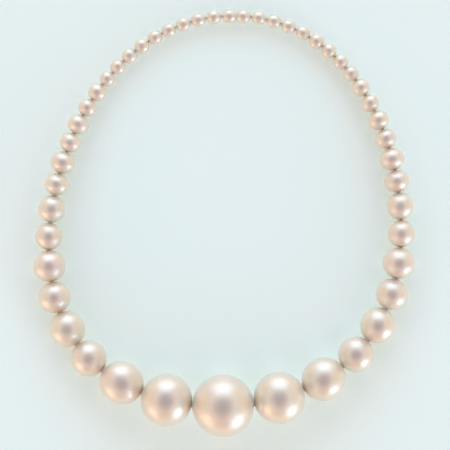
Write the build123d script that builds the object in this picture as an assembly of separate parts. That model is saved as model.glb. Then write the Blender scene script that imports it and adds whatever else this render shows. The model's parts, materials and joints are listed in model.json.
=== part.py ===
from build123d import *
import math
import os

# A closed strand of graduated pearls, lying flat in an egg-shaped loop. Millimetres, +Z up.
# The largest pearl is at the front (-Y) and the smallest are at the back (+Y), where a magnetic
# clasp is hidden inside two neighbouring pearls. The strand is a chain: each pearl sits on one
# straight link of the thread, and the ends of the links are where the strand bends.

# Pearls: (how many on each side, length along the thread, diameter across it), front to back.
CENTRE_PEARL = (21.25, 21.85)
GRADES = [
    (1, 17.75, 18.35),
    (1, 15.55, 15.05),
    (2, 12.5, 12.55),
    (2, 10.9, 11.45),
    (2, 9.5, 9.6),
    (2, 7.75, 8.95),
    (2, 6.85, 7.65),
    (2, 6.2, 6.6),
    (4, 5.45, 5.5),
    (5, 5.35, 4.9),
]
PEARL_GAP = 0.07        # least gap between two neighbouring pearls
HOLE_D = 0.8            # drilled through each pearl along the thread
MOUTH_ROUND = 0.08      # rounding of the hole's mouths
THREAD_D = 0.5
THREAD_BEND_R = 1.5     # how sharply the thread turns between two pearls

# The loop that the links' ends lie on, before it is scaled to the strand's length.
HALF_WIDTH = 62.4
HALF_LENGTH = 68.1
EGG = 3.8               # how far the widest place is moved towards the front
SHOULDER = 1.6          # how much the sides are pulled in
LEAN = 2.6              # how far the back sits to the right of the front
CENTRE_TURN = 0.021     # the centre pearl's place on the loop, in radians
FIRST_BEND = 0.13       # the bend between two pearls before it is worked out, in radians

# Magnetic clasp, one half in the back pearl and one in the pearl beside it.
CLASP_FACE_D = 2.5
CLASP_GAP = 0.2
CUP_D = 2.0
CUP_WALL = 0.15
CUP_LENGTH = 1.85
CUP_FLOOR = 0.2
CUP_FIT = 0.03          # glue line round the cup
MAGNET_D = 1.6
MAGNET_LENGTH = 1.0
MAGNET_SETBACK = 0.05
MAGNET_CHAMFER = 0.08
CRIMP_D = 1.1
CRIMP_LENGTH = 0.45
CRIMP_BORE = 0.54
CRIMP_ROUND = 0.12
CRIMP_SEAT = 0.02       # glue line between the crimp bead and the cup's floor
CUP_HOLE_D = 0.7

# How the layout is searched for.
BISECTIONS = 45         # halvings of each search along the loop
WIDEST_TURN = 0.6       # more of the loop than any one pearl spans, in radians
LEAST_SCALE, MOST_SCALE = 0.9, 1.1
LAYOUT_ROUNDS = 4       # the pearls' room follows from their bends, and the bends from the room
LIFTING_ROUNDS = 20     # a pearl that is lifted lifts its neighbours a little as well

SIDE = [(length, across) for count, length, across in GRADES for _ in range(count)]
LEFT = SIDE + [SIDE[-1]]   # the back pearl ends the left half
RIGHT = SIDE
STRAND = LEFT[::-1] + [CENTRE_PEARL] + RIGHT
NAMES = (
    ["back_pearl"]
    + [f"left_pearl_{i:02d}" for i in range(len(SIDE), 0, -1)]
    + ["centre_pearl"]
    + [f"right_pearl_{i:02d}" for i in range(1, len(SIDE) + 1)]
)
CENTRE = len(LEFT)


def cut_back(size, width):
    """How far a flat of that width lies below the end of a pearl."""
    length, across = size
    return length / 2 * (1 - math.sqrt(1 - (width / across) ** 2))


def end_radius(size):
    """Radius of curvature at a pearl's end."""
    length, across = size
    return across**2 / 2 / length


def bend_room(one, other, bend):
    """Room between two pearls' ends on a straight thread, so that they clear when it bends."""
    first, second = end_radius(one), end_radius(other)
    rolled = first * second / (first + second) * bend**2 / 2
    drilled = cut_back(one, HOLE_D) + cut_back(other, HOLE_D)
    return PEARL_GAP + max(0, rolled - drilled / 2)


def link_end_heights():
    """Heights of the links' ends: each pearl just clears the table, or is held above it."""
    radii = [across / 2 for _, across in STRAND]
    heights = [(a + b) / 2 for a, b in zip(radii, radii[1:])]
    heights = [radii[0]] + heights + [radii[-1]]
    for _ in range(LIFTING_ROUNDS):
        for i, radius in enumerate(radii):
            lift = max(0, radius - (heights[i] + heights[i + 1]) / 2)
            heights[i] += lift
            heights[i + 1] += lift
    return heights


FACE_SETBACK = cut_back(SIDE[-1], CLASP_FACE_D)
CLASP_ROOM = CLASP_GAP - 2 * FACE_SETBACK
HEIGHTS = link_end_heights()


class Layout:
    """The links laid round the loop, for one set of bends between neighbouring pearls."""

    def __init__(self, bends):
        pairs = zip(STRAND, STRAND[1:], bends)
        half_rooms = [bend_room(one, other, bend) / 2 for one, other, bend in pairs]
        self.before = [CLASP_ROOM / 2] + half_rooms
        self.after = half_rooms + [CLASP_ROOM / 2]
        low, high = LEAST_SCALE, MOST_SCALE
        for _ in range(BISECTIONS):
            self.scale = (low + high) / 2
            if self.clasp_opening() < 0:
                low = self.scale
            else:
                high = self.scale
        ends = [self.on_loop(turn) for turn in self.turns()]
        share = self.plan_length(0) / (self.plan_length(0) + self.plan_length(len(STRAND) - 1))
        clasp = tuple(a + (b - a) * share for a, b in zip(ends[0], ends[-1]))
        spots = [clasp] + ends + [clasp]
        self.ends = [Vector(x, y, z) for (x, y), z in zip(spots, HEIGHTS)]

    def plan_length(self, i):
        """Length of link i seen from above."""
        link = self.before[i] + STRAND[i][0] + self.after[i]
        return math.sqrt(link**2 - (HEIGHTS[i + 1] - HEIGHTS[i]) ** 2)

    def on_loop(self, turn):
        """Point of the loop at an angle from its front, positive towards the right."""
        x = HALF_WIDTH * math.sin(turn) + EGG * math.sin(2 * turn) + SHOULDER * math.sin(3 * turn)
        x -= LEAN * math.cos(turn)
        return (self.scale * x, -self.scale * HALF_LENGTH * math.cos(turn))

    def step_along(self, turn, length, way):
        """The turn at which a straight link of that length comes back to the loop."""
        start = self.on_loop(turn)
        low, high = 0.0, WIDEST_TURN
        for _ in range(BISECTIONS):
            middle = (low + high) / 2
            if math.dist(start, self.on_loop(turn + way * middle)) < length:
                low = middle
            else:
                high = middle
        return turn + way * low

    def centre_half_turn(self):
        """Half of the turn that the centre pearl's link spans."""
        low, high = 0.0, WIDEST_TURN
        for _ in range(BISECTIONS):
            middle = (low + high) / 2
            start, end = self.on_loop(CENTRE_TURN - middle), self.on_loop(CENTRE_TURN + middle)
            if math.dist(start, end) < self.plan_length(CENTRE):
                low = middle
            else:
                high = middle
        return low

    def turns(self):
        """Turns of the links' ends, from the clasp round the left side to the clasp again."""
        half = self.centre_half_turn()
        left = [CENTRE_TURN - half]
        right = [CENTRE_TURN + half]
        for i in range(CENTRE - 1, 0, -1):
            left.append(self.step_along(left[-1], self.plan_length(i), -1))
        for i in range(CENTRE + 1, len(STRAND) - 1):
            right.append(self.step_along(right[-1], self.plan_length(i), 1))
        return left[::-1] + right

    def clasp_opening(self):
        """How much further apart the clasp pearls' outer ends are than the closed pair."""
        turns = self.turns()
        apart = math.dist(self.on_loop(turns[0]), self.on_loop(turns[-1]))
        if turns[0] + 2 * math.pi < turns[-1]:
            apart = -apart
        return apart - self.plan_length(0) - self.plan_length(len(STRAND) - 1)

    def bends(self):
        """Angle between each two neighbouring links, in radians."""
        links = [b - a for a, b in zip(self.ends, self.ends[1:])]
        return [math.radians(a.get_angle(b)) for a, b in zip(links, links[1:])]

    def places(self):
        """Each pearl's centre, with Z along its hole towards the next pearl."""
        found = []
        for i, (start, end) in enumerate(zip(self.ends, self.ends[1:])):
            along = (end - start).normalized()
            found.append(Plane(start + along * (self.before[i] + STRAND[i][0] / 2), z_dir=along))
        return found


bends = [FIRST_BEND] * (len(STRAND) - 1)
for _ in range(LAYOUT_ROUNDS):
    layout = Layout(bends)
    bends = layout.bends()
PLACES = layout.places()


def reach(size, slope):
    """How far a pearl reaches from its centre along an axis that its hole has that slope to."""
    length, across = size
    return math.hypot(length / 2 * slope, across / 2 * math.sqrt(1 - slope**2))


def middle_along(spots, slopes):
    """Middle of the strand's box along one axis."""
    reaches = [reach(size, slope) for size, slope in zip(STRAND, slopes)]
    lowest = min(spot - away for spot, away in zip(spots, reaches))
    highest = max(spot + away for spot, away in zip(spots, reaches))
    return (lowest + highest) / 2


MIDDLE = Vector(
    middle_along([place.origin.X for place in PLACES], [place.z_dir.X for place in PLACES]),
    middle_along([place.origin.Y for place in PLACES], [place.z_dir.Y for place in PLACES]),
    0,
)
PLACES = [Plane(place.origin - MIDDLE, z_dir=place.z_dir) for place in PLACES]
ENDS = [end - MIDDLE for end in layout.ends]


def pearl_profile(length, across):
    """Half section of a drilled pearl: X outwards from the hole's axis, Y along it."""
    half = Ellipse(across / 2, length / 2) & Pos(across / 2, 0) * Rectangle(across, 2 * length)
    drilled = half - Rectangle(HOLE_D, 2 * length)
    return fillet(drilled.vertices(), MOUTH_ROUND)


def pearl(length, across):
    return revolve(Plane.XZ * pearl_profile(length, across), Axis.Z)


def clasp_pearl(length, across):
    """A pearl with a flat clasp face at its top and a pocket for the magnet's cup."""
    face = length / 2 - FACE_SETBACK
    pocket_depth = CUP_LENGTH + CUP_FIT
    whole = Ellipse(across / 2, length / 2) & Pos(across / 2, 0) * Rectangle(across, 2 * length)
    whole -= Rectangle(HOLE_D, 2 * length)
    whole -= Pos(0, face + length / 2) * Rectangle(2 * across, length)
    whole -= Pos(0, face - pocket_depth / 2) * Rectangle(CUP_D + 2 * CUP_FIT, pocket_depth)
    return revolve(Plane.XZ * whole, Axis.Z)


def clasp_cup():
    """Cup that holds the magnet, mouth at Z = 0 and floor below, drilled for the thread."""
    cup = Pos(0, 0, -CUP_LENGTH / 2) * Cylinder(CUP_D / 2, CUP_LENGTH)
    inside = CUP_LENGTH - CUP_FLOOR
    cup -= Pos(0, 0, -inside / 2) * Cylinder(CUP_D / 2 - CUP_WALL, inside)
    return cup - Pos(0, 0, -CUP_LENGTH) * Cylinder(CUP_HOLE_D / 2, 3 * CUP_FLOOR)


def clasp_magnet():
    disc = Cylinder(MAGNET_D / 2, MAGNET_LENGTH)
    disc = chamfer(disc.edges().filter_by(GeomType.CIRCLE), MAGNET_CHAMFER)
    return Pos(0, 0, -MAGNET_SETBACK - MAGNET_LENGTH / 2) * disc


def crimp_bead():
    """Squashed metal bead that locks the thread's end behind the magnet."""
    bead = Cylinder(CRIMP_D / 2, CRIMP_LENGTH)
    bead = fillet(bead.edges().filter_by(GeomType.CIRCLE), CRIMP_ROUND)
    bead -= Cylinder(CRIMP_BORE / 2, 2 * CRIMP_LENGTH)
    return Pos(0, 0, -CUP_LENGTH + CUP_FLOOR + CRIMP_SEAT + CRIMP_LENGTH / 2) * bead


def face_plane(i, way):
    """Plane of a clasp pearl's face, looking out of the pearl."""
    place = PLACES[i]
    out = place.z_dir * way
    return Plane(place.origin + out * (STRAND[i][0] / 2 - FACE_SETBACK), z_dir=out)


FACES = {"left": face_plane(0, -1), "right": face_plane(len(STRAND) - 1, 1)}


def stringing_thread():
    """One thread through every hole, from crimp bead to crimp bead."""
    crimp_top = CUP_LENGTH - CUP_FLOOR - CRIMP_SEAT - CRIMP_LENGTH
    left_tip, right_tip = [face.origin - face.z_dir * crimp_top for face in FACES.values()]
    points = [left_tip] + ENDS[1:-1] + [right_tip]
    path = FilletPolyline(*points, radius=THREAD_BEND_R)
    section = Plane(path @ 0, z_dir=path % 0) * Circle(THREAD_D / 2)
    tube = sweep(section, path)
    print("thread length", round(path.length, 1), "volume", round(tube.volume, 2))
    print("section times length", round(math.pi * THREAD_D**2 / 4 * path.length, 2))
    return tube


os.makedirs("parts", exist_ok=True)
for name, size, place in zip(NAMES[1:-1], STRAND[1:-1], PLACES[1:-1]):
    export_step(place * pearl(*size), f"parts/{name}.step")
for i, face in ((0, FACES["left"]), (-1, FACES["right"])):
    solid = Plane(PLACES[i].origin, z_dir=face.z_dir) * clasp_pearl(*STRAND[i])
    export_step(solid, f"parts/{NAMES[i]}.step")
for side, face in FACES.items():
    export_step(face * clasp_cup(), f"parts/clasp_cup_{side}.step")
    export_step(face * clasp_magnet(), f"parts/clasp_magnet_{side}.step")
    export_step(face * crimp_bead(), f"parts/crimp_bead_{side}.step")
export_step(stringing_thread(), "parts/stringing_thread.step")

print("loop scale", round(layout.scale, 4))
for i in range(1, len(STRAND)):
    before, after = PLACES[i - 1].z_dir, PLACES[i].z_dir
    turn = math.degrees(math.atan2(before.X * after.Y - before.Y * after.X, before.dot(after)))
    place = ", ".join(f"{value:.4f}" for value in ENDS[i])
    print("hinge", NAMES[i - 1], NAMES[i], "at", place, "turned", round(turn, 3))
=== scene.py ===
# %% [markdown]
# # A graduated pearl strand
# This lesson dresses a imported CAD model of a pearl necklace. The CAD part fixes where every
# pearl sits and where the strand bends, so the script measures it and never moves it.
# Everything below is in metres, with the strand lying flat on a table at Z = 0. The largest
# pearl is at the front (-Y) and the clasp is at the back (+Y), hidden inside two neighbouring
# pearls.

# %% Load the frame
import json
import math

import bmesh
import bpy
from mathutils import Matrix, Vector, noise

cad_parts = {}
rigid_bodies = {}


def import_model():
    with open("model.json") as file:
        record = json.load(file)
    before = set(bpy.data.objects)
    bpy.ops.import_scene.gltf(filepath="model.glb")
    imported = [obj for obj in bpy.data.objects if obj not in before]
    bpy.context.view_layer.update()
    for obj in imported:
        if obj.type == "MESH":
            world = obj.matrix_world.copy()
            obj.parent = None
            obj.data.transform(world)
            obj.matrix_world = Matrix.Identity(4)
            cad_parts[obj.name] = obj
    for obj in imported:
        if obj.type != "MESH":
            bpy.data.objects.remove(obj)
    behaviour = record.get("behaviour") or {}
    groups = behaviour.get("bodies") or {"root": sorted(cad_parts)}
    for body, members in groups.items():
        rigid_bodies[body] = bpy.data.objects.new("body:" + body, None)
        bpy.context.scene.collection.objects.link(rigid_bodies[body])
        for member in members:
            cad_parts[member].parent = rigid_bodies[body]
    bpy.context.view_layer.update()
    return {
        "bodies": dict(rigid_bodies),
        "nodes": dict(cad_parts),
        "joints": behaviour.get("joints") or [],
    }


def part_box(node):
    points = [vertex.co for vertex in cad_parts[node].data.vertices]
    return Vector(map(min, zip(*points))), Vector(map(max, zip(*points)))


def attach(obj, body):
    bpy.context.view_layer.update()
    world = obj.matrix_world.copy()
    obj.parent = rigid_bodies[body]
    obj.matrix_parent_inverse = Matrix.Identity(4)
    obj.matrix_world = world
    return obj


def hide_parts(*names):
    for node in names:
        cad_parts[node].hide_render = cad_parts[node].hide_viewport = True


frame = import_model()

MM = 0.001

# %% [markdown]
# ## The chain
# The strand is a chain of straight links, one pearl on each. A hinge stands wherever two links
# meet, so the hinges' places are the route of the thread. There is one more meeting place
# without a hinge, where the strand opens: it lies midway between the two clasp cups.

# %% Where the links start and end
CENTRE_PEARL = "centre_pearl"
CLASP_PEARLS = {"back_pearl": "left", "right_pearl_23": "right"}


def middle(node):
    """Middle of a CAD node's box."""
    low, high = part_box(node)
    return (Vector(low) + Vector(high)) / 2


def lay_out_links():
    """Each body's link: its end nearer the centre pearl and its far end."""
    start_of = {joint["child"]: Vector(joint["pos_m"]) for joint in frame["joints"]}
    ends_of = {}
    for joint in frame["joints"]:
        ends_of.setdefault(joint["parent"], []).append(Vector(joint["pos_m"]))
    clasp = (middle("clasp_cup_left") + middle("clasp_cup_right")) / 2
    found = {}
    for body in frame["bodies"]:
        if body == CENTRE_PEARL:
            found[body] = tuple(sorted(ends_of[body], key=lambda place: place.x))
        else:
            found[body] = (start_of[body], ends_of.get(body, [clasp])[0])
    return found


links = lay_out_links()
strand_length = sum((end - start).length for start, end in links.values())
print(len(links), "links, together", round(strand_length / MM, 1), "mm")

# %% [markdown]
# A pearl's own size comes from its CAD mesh. Measured along the link, its vertices give where
# the drilled ball starts and stops, and measured away from the link they give its radius. A
# list of sizes would do as well, but measuring makes each visible pearl fit its own solid,
# whether that is a little flattened or a little stretched.

# %% Measure every pearl
def measure(body):
    start, end = links[body]
    along = (end - start).normalized()
    offsets = [vertex.co - start for vertex in frame["nodes"][body].data.vertices]
    runs = [offset.dot(along) for offset in offsets]
    radius = max((offset - along * run).length for offset, run in zip(offsets, runs))
    return {"low": min(runs), "length": max(runs) - min(runs), "radius": radius}


sizes = {body: measure(body) for body in links}
diameters = [2 * size["radius"] / MM for size in sizes.values()]
print("diameters from", round(min(diameters), 2), "to", round(max(diameters), 2), "mm")

# %% [markdown]
# ## Materials
# A few helpers keep the node trees short. All patterns are noise on Object coordinates, so they
# stay on their piece from every side and in every pose. One noise can drive several things at
# once, such as colour, roughness and bump, because on a real surface a flaw shows in them all.

# %% Helpers for node materials
SHADER = "Principled BSDF"


def new_material(name, **values):
    """A material with its shader's own values set. Returns it, its nodes and its wires."""
    material = bpy.data.materials.new(name)
    material.use_nodes = True
    nodes = material.node_tree.nodes
    for socket, value in values.items():
        nodes[SHADER].inputs[socket.replace("_", " ")].default_value = value
    return material, nodes, material.node_tree.links


def add_noise(nodes, wires, size, detail):
    """Noise on Object coordinates, with lumps of about that size."""
    coordinates = nodes.new("ShaderNodeTexCoord")
    texture = nodes.new("ShaderNodeTexNoise")
    texture.inputs["Scale"].default_value = 1 / size
    texture.inputs["Detail"].default_value = detail
    wires.new(coordinates.outputs["Object"], texture.inputs["Vector"])
    return texture.outputs["Fac"]


def add_ramp(nodes, wires, source, stops):
    """Colour ramp through a list of (position, colour)."""
    ramp = nodes.new("ShaderNodeValToRGB")
    elements = ramp.color_ramp.elements
    elements[0].position, elements[-1].position = stops[0][0], stops[-1][0]
    elements[0].color = (*stops[0][1], 1)
    elements[-1].color = (*stops[-1][1], 1)
    for position, colour in stops[1:-1]:
        elements.new(position).color = (*colour, 1)
    wires.new(source, ramp.inputs["Fac"])
    return ramp.outputs["Color"]


def roughen(nodes, wires, source, smoothest, roughest, depth):
    """Lets a noise vary the roughness between two values and raise bumps of that depth."""
    shader = nodes[SHADER]
    spread = nodes.new("ShaderNodeMapRange")
    spread.inputs["To Min"].default_value = smoothest
    spread.inputs["To Max"].default_value = roughest
    wires.new(source, spread.inputs["Value"])
    wires.new(spread.outputs["Result"], shader.inputs["Roughness"])
    bump = nodes.new("ShaderNodeBump")
    bump.inputs["Distance"].default_value = depth
    wires.new(source, bump.inputs["Height"])
    wires.new(bump.outputs["Normal"], shader.inputs["Normal"])


print("every material is built round one", SHADER)

# %% [markdown]
# An imitation pearl is a bead dipped many times in a lacquer full of fine flakes. The flakes
# lie flat and mirror softly, like satin metal, while the bead below shows as a warm body
# colour: half Metallic does both. Subsurface light could stand for the depth as well, but the
# bead is opaque, and what the eye reads as depth is the flakes. The last dip is clear, so a
# satin Coat lies on top, and Sheen gives the pale rim. Lumps of noise larger than a small
# pearl let neighbours differ a little, between cream, peach and rose. Round the drilled hole
# the lacquer gathers in a darker collar, and an attribute tells how far the hole is.

# %% Pearl lacquer
FROM_HOLE = "from_hole"
TONE_SIZE = 9 * MM
LACQUER_TONES = [
    (0.30, (0.855, 0.775, 0.650)),
    (0.45, (0.870, 0.765, 0.640)),
    (0.58, (0.880, 0.750, 0.635)),
    (0.72, (0.850, 0.740, 0.655)),
]
COLLAR_TONES = [
    (0.0, (0.45, 0.38, 0.30)),
    (0.05, (0.70, 0.60, 0.46)),
    (0.14, (1.0, 1.0, 1.0)),
]
FLAKE_SIZE = 0.9 * MM
FLAKE_BUMP = 0.006 * MM
FLAKE_ROUGHNESS = (0.36, 0.48)


def pearl_lacquer():
    material, nodes, wires = new_material(
        "pearl_lacquer",
        Metallic=0.5,
        Coat_Weight=0.8,
        Coat_IOR=1.6,
        Coat_Roughness=0.35,
        Sheen_Weight=0.5,
        Sheen_Roughness=0.3,
        Sheen_Tint=(0.85, 1.0, 0.93, 1),
    )
    tone = add_ramp(nodes, wires, add_noise(nodes, wires, TONE_SIZE, 1), LACQUER_TONES)
    from_hole = nodes.new("ShaderNodeAttribute")
    from_hole.attribute_name = FROM_HOLE
    collar = add_ramp(nodes, wires, from_hole.outputs["Fac"], COLLAR_TONES)
    stained = nodes.new("ShaderNodeMix")
    stained.data_type = "RGBA"
    stained.blend_type = "MULTIPLY"
    stained.inputs["Factor"].default_value = 1
    wires.new(tone, stained.inputs["A"])
    wires.new(collar, stained.inputs["B"])
    wires.new(stained.outputs["Result"], nodes[SHADER].inputs["Base Color"])
    flakes = add_noise(nodes, wires, FLAKE_SIZE, 2)
    roughen(nodes, wires, flakes, *FLAKE_ROUGHNESS, FLAKE_BUMP)
    return material


lacquer = pearl_lacquer()
print("made", lacquer.name, "with", len(lacquer.node_tree.nodes), "nodes")

# %% [markdown]
# The thread is cream fibre, matt, with a little sheen from its fuzz. Single fibres could be
# modelled as hair, but they are far too thin to see one by one, so fine noise stands for them.
# Its deep tones are painted shade in the furrows, and its pale ones are the cream of the fibres on
# top.

# %% Thread fibre
FUZZ_SIZE = 0.08 * MM
FUZZ_BUMP = 0.02 * MM
FUZZ_ROUGHNESS = (0.7, 0.9)
# cream fibre colour plus painted shade: the deep tone darkens the furrows of the fuzz
FIBRE_TONE_AND_FURROW_SHADE = [(0.3, (0.66, 0.58, 0.46)), (0.7, (0.86, 0.80, 0.69))]


def thread_fibre():
    material, nodes, wires = new_material("thread_fibre", Sheen_Weight=0.4, Sheen_Roughness=0.5)
    fuzz = add_noise(nodes, wires, FUZZ_SIZE, 3)
    # the noise that sinks the bump also darkens the colour there, painting shade into the furrows
    tone = add_ramp(nodes, wires, fuzz, FIBRE_TONE_AND_FURROW_SHADE)
    wires.new(tone, nodes[SHADER].inputs["Base Color"])
    roughen(nodes, wires, fuzz, *FUZZ_ROUGHNESS, FUZZ_BUMP)
    return material


fibre = thread_fibre()
print("made", fibre.name, "with", len(fibre.node_tree.nodes), "nodes")

# %% [markdown]
# The clasp is metal: gilt brass cups, nickel-plated magnets and crimp beads that the pliers have
# marked. A metal's base colour is its mirror colour, so the cloudy tone stays close, and the
# grain's size tells them apart: fine and rough where the pliers bit, wide and smooth on the
# plated magnet.

# %% Clasp metals
GRAIN_BUMP = 0.004 * MM
SHINE_SPREAD = 0.3


def worked_metal(name, dark, light, roughness, grain):
    """A turned, plated or squeezed metal, cloudy in tone and in shine."""
    material, nodes, wires = new_material(name, Metallic=1.0)
    cloud = add_noise(nodes, wires, grain, 3)
    tone = add_ramp(nodes, wires, cloud, [(0.3, dark), (0.7, light)])
    wires.new(tone, nodes[SHADER].inputs["Base Color"])
    smoothest, roughest = (1 - SHINE_SPREAD) * roughness, (1 + SHINE_SPREAD) * roughness
    roughen(nodes, wires, cloud, smoothest, roughest, GRAIN_BUMP)
    return material


clasp_metals = {
    "clasp_cup": worked_metal(
        "gilt_brass", (0.62, 0.44, 0.20), (0.86, 0.68, 0.38), 0.28, 0.25 * MM
    ),
    "clasp_magnet": worked_metal(
        "nickel_plate", (0.52, 0.51, 0.49), (0.74, 0.73, 0.70), 0.20, 0.40 * MM
    ),
    "crimp_bead": worked_metal(
        "crimped_gilt", (0.55, 0.40, 0.20), (0.82, 0.66, 0.40), 0.38, 0.12 * MM
    ),
}
print("made", [metal.name for metal in clasp_metals.values()])

# %% [markdown]
# ## Pearls
# A pearl is a ball with a hole drilled through it. A Boolean could drill it, but that leaves
# thin, uneven faces round the mouths, which show as creases in the gloss. Instead each pearl
# starts as a UV sphere whose poles point along the thread, because its rings then lie round the
# hole. The poles are cut away, and the rims that this leaves are set to the hole's size.

# %% Cut the poles
HOLE_RADIUS = 0.4 * MM
POLE_MARGIN = 1.02


def rim_edges(mesh, way):
    """The open edges at the top (way 1) or at the bottom (way -1)."""
    return [edge for edge in mesh.edges if edge.is_boundary and edge.verts[0].co.z * way > 0]


def set_rim(vertices, radius, height):
    """Moves a rim's vertices to that radius and height."""
    for vertex in vertices:
        flat = vertex.co.xy.normalized() * radius
        vertex.co = (flat.x, flat.y, height)


def share_left(radius, half_across):
    """Share of a ball's half length that is left when it is cut back to a flat that wide."""
    return math.cos(math.asin(radius / half_across))


def cut_pole(mesh, way, radius, half_length, half_across):
    """Removes a pole of the ball and leaves a rim of that radius. Returns the rim's height."""
    height = half_length * share_left(radius, half_across)
    wide = POLE_MARGIN * radius
    pole = [vertex for vertex in mesh.verts if vertex.co.z * way > 0 and vertex.co.xy.length < wide]
    bmesh.ops.delete(mesh, geom=pole, context="VERTS")
    rim = {vertex for edge in rim_edges(mesh, way) for vertex in edge.verts}
    set_rim(rim, radius, height * way)
    return height


print("the hole is", 2 * HOLE_RADIUS / MM, "mm wide")

# %% [markdown]
# The two clasp pearls have a flat face at one end, with a pocket in it that holds the cup. Their
# top rim is cut wider, and extruding it three times makes the pocket: inwards across the face,
# down the wall, and inwards again across the floor to the hole.

# %% Sink the clasp's pocket
CLASP_FACE_RADIUS = 1.25 * MM
POCKET_RADIUS = 1.03 * MM
POCKET_DEPTH = 1.88 * MM


def carry_on(mesh, radius, height):
    """Extrudes the top rim to its next radius and height."""
    grown = bmesh.ops.extrude_edge_only(mesh, edges=rim_edges(mesh, 1))["geom"]
    set_rim([item for item in grown if isinstance(item, bmesh.types.BMVert)], radius, height)


def sink_pocket(mesh, face):
    """Makes the pocket below the flat face at that height."""
    carry_on(mesh, POCKET_RADIUS, face)
    carry_on(mesh, POCKET_RADIUS, face - POCKET_DEPTH)
    carry_on(mesh, HOLE_RADIUS, face - POCKET_DEPTH)


print("the pocket is", round(POCKET_DEPTH / MM, 2), "mm deep")

# %% [markdown]
# Dipped beads are never perfectly round. A little noise draws the surface in by up to one part
# in 125, never outwards, so the pearl stays inside its solid. A Displace modifier could do it,
# but the flat face and the pocket have to stay true, so only points well outside them move.

# %% Make the ball uneven
TRUE_RADIUS = 1.5 * CLASP_FACE_RADIUS
WAVE_SIZE = 6 * MM
WAVE_SHARE = 0.004


def draw_in(mesh, place, least_radius):
    """Makes the ball slightly uneven outside that radius, with the noise at its own place."""
    for vertex in mesh.verts:
        if vertex.co.xy.length > least_radius:
            vertex.co.xy *= 1 + WAVE_SHARE * (noise.noise((vertex.co + place) / WAVE_SIZE) - 1)


print("the surface moves by up to", round(200 * WAVE_SHARE, 2), "% of the radius")

# %% [markdown]
# Two things finish a mesh. The collar of the lacquer needs each point's distance from the hole,
# which is stored on the mesh, so that the material finds it wherever the pearl is turned. Then
# the mesh becomes a smooth object with its faces pointing outwards.

# %% Mark the collar and finish a mesh
def mark_collar(mesh):
    """Stores each vertex's distance from the hole's wall, in millimetres, as an attribute."""
    layer = mesh.verts.layers.float.new(FROM_HOLE)
    for vertex in mesh.verts:
        vertex[layer] = (vertex.co.xy.length - HOLE_RADIUS) / MM


def finish_mesh(mesh, name, material):
    """Turns a bmesh into a smooth object with one material."""
    data = bpy.data.meshes.new(name)
    bmesh.ops.recalc_face_normals(mesh, faces=mesh.faces)
    mesh.to_mesh(data)
    mesh.free()
    data.shade_smooth()
    data.materials.append(material)
    piece = bpy.data.objects.new(name, data)
    bpy.context.scene.collection.objects.link(piece)
    return piece


print("the collar is", COLLAR_TONES[-1][0], "mm wide")

# %% [markdown]
# Now the pearl itself. Bridging the two rims makes the tunnel, and a bevel rounds its mouths,
# which drilling and dipping leave soft. Large pearls get more rings, because their outlines
# show more. The mesh is built upright at the origin and only then turned onto its link and
# moved to its place, while the object stays where it is.

# %% Make the pearls
MOUTH_ROUND = 0.08 * MM
MOUTH_STEPS = 3
LARGE_PEARL = 4 * MM
LARGE_RINGS = 64
SMALL_RINGS = 40


def make_pearl(body):
    size = sizes[body]
    half_across = size["radius"]
    top_radius = CLASP_FACE_RADIUS if body in CLASP_PEARLS else HOLE_RADIUS
    kept = share_left(HOLE_RADIUS, half_across) + share_left(top_radius, half_across)
    half_length = size["length"] / kept
    rings = LARGE_RINGS if half_across > LARGE_PEARL else SMALL_RINGS
    mesh = bmesh.new()
    bmesh.ops.create_uvsphere(mesh, u_segments=rings * 3 // 2, v_segments=rings, radius=1)
    bmesh.ops.scale(mesh, vec=(half_across, half_across, half_length), verts=mesh.verts)
    bottom = cut_pole(mesh, -1, HOLE_RADIUS, half_length, half_across)
    face = cut_pole(mesh, 1, top_radius, half_length, half_across)
    mouths = rim_edges(mesh, -1)
    start, end = links[body]
    if body in CLASP_PEARLS:
        sink_pocket(mesh, face)
        draw_in(mesh, start, TRUE_RADIUS)
    else:
        mouths += rim_edges(mesh, 1)
        draw_in(mesh, start, 0)
    bmesh.ops.bridge_loops(mesh, edges=rim_edges(mesh, -1) + rim_edges(mesh, 1))
    bmesh.ops.bevel(
        mesh,
        geom=mouths,
        offset=MOUTH_ROUND,
        affect="EDGES",
        segments=MOUTH_STEPS,
        profile=0.5,
        material=-1,
    )
    mark_collar(mesh)
    along = (end - start).normalized()
    turn = Vector((0, 0, 1)).rotation_difference(along).to_matrix().to_4x4()
    place = Matrix.Translation(start + along * (size["low"] + bottom))
    bmesh.ops.transform(mesh, matrix=place @ turn, verts=mesh.verts)
    piece = finish_mesh(mesh, body + "_lacquered", lacquer)
    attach(piece, body)
    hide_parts(body)
    return piece


pearls = [make_pearl(body) for body in links]
print(len(pearls), "pearls, up to", max(len(pearl.data.polygons) for pearl in pearls), "faces each")

# %% [markdown]
# ## Thread
# The thread is two plies wound round each other. A bevelled curve could follow the whole strand,
# but then it couldn't bend with the pearls, so every link carries its own stretch from hinge to
# hinge. Bmesh makes a screw as a spin that also climbs: each step turns a small circle about
# the thread's axis and lifts it a little. With a whole number of twists in each stretch, the
# plies of two neighbours meet. At the clasp a stretch ends inside its crimp bead.

# %% Make the thread's stretches
THREAD_RADIUS = 0.25 * MM
TWIST_LENGTH = 1.6 * MM
STEPS_PER_TWIST = 10
PLY_SIDES = 8


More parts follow.
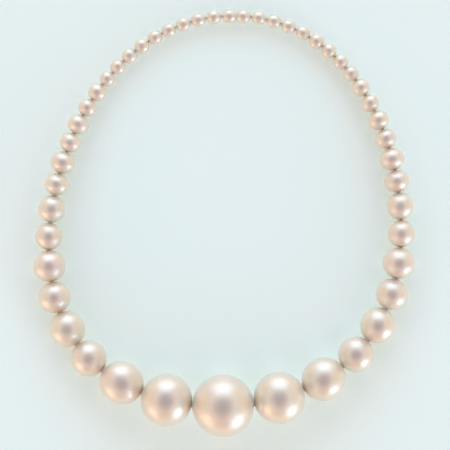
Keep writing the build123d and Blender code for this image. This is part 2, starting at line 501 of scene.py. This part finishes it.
def make_thread(body):
    start, end = links[body]
    if body in CLASP_PEARLS:
        end = middle("crimp_bead_" + CLASP_PEARLS[body])
    run = end - start
    twists = max(1, round(run.length / TWIST_LENGTH))
    steps = twists * STEPS_PER_TWIST
    mesh = bmesh.new()
    for side in (-1, 1):
        circle = bmesh.ops.create_circle(mesh, radius=THREAD_RADIUS / 2, segments=PLY_SIDES)
        ring = circle["verts"]
        bmesh.ops.translate(mesh, vec=(side * THREAD_RADIUS / 2, 0, 0), verts=ring)
        edges = list({edge for vertex in ring for edge in vertex.link_edges})
        bmesh.ops.spin(
            mesh,
            geom=ring + edges,
            axis=(0, 0, 1),
            cent=(0, 0, 0),
            dvec=(0, 0, run.length / steps),
            angle=2 * math.pi * twists,
            steps=steps,
        )
    bmesh.ops.holes_fill(mesh, edges=[edge for edge in mesh.edges if edge.is_boundary])
    turn = run.to_track_quat("Z", "Y").to_matrix().to_4x4()
    bmesh.ops.transform(mesh, matrix=Matrix.Translation(start) @ turn, verts=mesh.verts)
    piece = finish_mesh(mesh, "thread_in_" + body, fibre)
    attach(piece, body)
    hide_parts("stringing_thread")
    return piece


threads = [make_thread(body) for body in links]
print(len(threads), "stretches of thread,", len(threads[0].data.polygons), "faces in the first")

# %% [markdown]
# ## Clasp
# The cups, magnets and crimp beads are small turned and pressed parts. They could be modelled
# again, but they already have their right shape in CAD and sit deep in the pearls, so those
# nodes stay as they are and only take their metals.

# %% Dress the clasp
for kind, metal in clasp_metals.items():
    for side in ("left", "right"):
        frame["nodes"][f"{kind}_{side}"].material_slots[0].material = metal
print("dressed", 2 * len(clasp_metals), "clasp pieces")

# %% [markdown]
# ## Studio
# A pearl mirrors the whole room softly, so the room makes the look: wherever a light should
# show on every pearl, that direction in the room has to glow. Lamps beside the table would
# sit differently on each pearl. Soft boxes painted on the world are endlessly far away, so all
# pearls agree. The table is a pale sheet with a faint glow of its own, like a light table under
# cloth, because the lower half of each pearl mirrors nothing else.

# %% Table
TABLE_HALF_WIDTH = 6
TABLE_COLOUR = (0.87, 0.95, 0.955, 1)
TABLE_GLOW = (0.13, 0.18, 0.155, 1)


def make_table():
    mesh = bmesh.new()
    bmesh.ops.create_grid(mesh, x_segments=1, y_segments=1, size=TABLE_HALF_WIDTH)
    material, _, _ = new_material(
        "pale_table",
        Base_Color=TABLE_COLOUR,
        Roughness=0.7,
        Emission_Color=TABLE_GLOW,
        Emission_Strength=1,
    )
    return finish_mesh(mesh, "table", material)


table = make_table()
print("the table is", 2 * TABLE_HALF_WIDTH, "m wide")

# %% [markdown]
# The room is a ramp of colour from the table's edge (0) up to the ceiling (1). The ceiling stays
# dark, which leaves the soft grey heart in the middle of each pearl. Below it the walls are
# warm, then cool at half height, and warm again at the table's edge. On them hang the soft
# boxes: a broad one behind the strand, a bright one at the front right and a warm one at the
# front left. A box may also take light away, as a black flag does on a set: one at the front
# keeps the lower side of the pearls tan.

# %% Walls and soft boxes
WALLS = [
    (0.0, (2.25, 1.45, 0.60)),
    (0.2, (0.70, 0.28, 0.05)),
    (0.45, (0.38, 0.92, 1.08)),
    (0.68, (1.50, 1.01, 0.72)),
    (0.88, (0.08, 0.20, 0.42)),
    (1.0, (0.21, 0.11, 0.09)),
]
BACK_BOX = {"azimuth": 0, "elevation": 12, "spread": 42, "glow": (1.02, 1.73, 2.50)}
FRONT_RIGHT_BOX = {"azimuth": 135, "elevation": 4, "spread": 22, "glow": (3.70, 5.40, 7.50)}
FRONT_LEFT_BOX = {"azimuth": 230, "elevation": 4, "spread": 25, "glow": (2.30, 1.78, 1.63)}
FRONT_FLAG = {"azimuth": 180, "elevation": 38, "spread": 30, "glow": (-0.13, -0.32, -0.32)}


def add_soft_box(nodes, wires, so_far, azimuth, elevation, spread, glow):
    """A round soft light in the world. Azimuth 0 is the back (+Y), 90 is the right (+X)."""
    around, up = math.radians(azimuth), math.radians(elevation)
    towards = (math.cos(up) * math.sin(around), math.cos(up) * math.cos(around), math.sin(up))
    direction = nodes.new("ShaderNodeTexCoord")
    nearness = nodes.new("ShaderNodeVectorMath")
    nearness.operation = "DOT_PRODUCT"
    nearness.inputs[1].default_value = towards
    wires.new(direction.outputs["Generated"], nearness.inputs[0])
    falloff = nodes.new("ShaderNodeMapRange")
    falloff.interpolation_type = "SMOOTHSTEP"
    falloff.inputs["From Min"].default_value = math.cos(math.radians(spread))
    wires.new(nearness.outputs["Value"], falloff.inputs["Value"])
    total = nodes.new("ShaderNodeVectorMath")
    total.operation = "MULTIPLY_ADD"
    total.inputs[0].default_value = glow
    wires.new(falloff.outputs["Result"], total.inputs[1])
    wires.new(so_far, total.inputs[2])
    return total.outputs["Vector"]


def make_room():
    world = bpy.data.worlds.new("studio")
    world.use_nodes = True
    nodes, wires = world.node_tree.nodes, world.node_tree.links
    direction = nodes.new("ShaderNodeTexCoord")
    split = nodes.new("ShaderNodeSeparateXYZ")
    wires.new(direction.outputs["Generated"], split.inputs["Vector"])
    light = add_ramp(nodes, wires, split.outputs["Z"], WALLS)
    for box in (BACK_BOX, FRONT_RIGHT_BOX, FRONT_LEFT_BOX, FRONT_FLAG):
        light = add_soft_box(nodes, wires, light, **box)
    wires.new(light, nodes["Background"].inputs["Color"])
    return world


room = make_room()
bpy.context.scene.world = room
print("the room has", len(room.node_tree.nodes), "nodes")

# %% [markdown]
# Seen from low down, the bright walls would stand right behind the strand. So the camera's own
# rays meet a plain pale backdrop instead, and only the pearls and the table see the walls.

# %% Backdrop
BACKDROP_COLOUR = (0.79, 0.88, 0.87, 1)


def hang_backdrop(nodes, wires):
    backdrop = nodes.new("ShaderNodeBackground")
    backdrop.inputs["Color"].default_value = BACKDROP_COLOUR
    ray = nodes.new("ShaderNodeLightPath")
    chosen = nodes.new("ShaderNodeMixShader")
    wires.new(ray.outputs["Is Camera Ray"], chosen.inputs["Fac"])
    wires.new(nodes["Background"].outputs["Background"], chosen.inputs[1])
    wires.new(backdrop.outputs["Background"], chosen.inputs[2])
    wires.new(chosen.outputs["Shader"], nodes["World Output"].inputs["Surface"])


hang_backdrop(room.node_tree.nodes, room.node_tree.links)
print("backdrop hung")

# %% [markdown]
# The camera looks straight down through a long lens, which keeps the pearls' outlines round.
# Its height follows from the lens, because it has to see one frame's width of the table.

# %% Camera
LENS = 200
SENSOR = 36
FRAME_WIDTH = 156.4 * MM
CAMERA_X = 0.3 * MM
CAMERA_Y = -0.9 * MM


def make_camera():
    data = bpy.data.cameras.new("overhead")
    data.lens = LENS
    data.sensor_width = SENSOR
    camera = bpy.data.objects.new("overhead", data)
    camera.location = (CAMERA_X, CAMERA_Y, FRAME_WIDTH * LENS / SENSOR)
    bpy.context.scene.collection.objects.link(camera)
    return camera


bpy.context.scene.camera = make_camera()
bpy.context.scene.view_settings.view_transform = "Standard"
print("camera height", round(bpy.context.scene.camera.location.z, 3), "m")
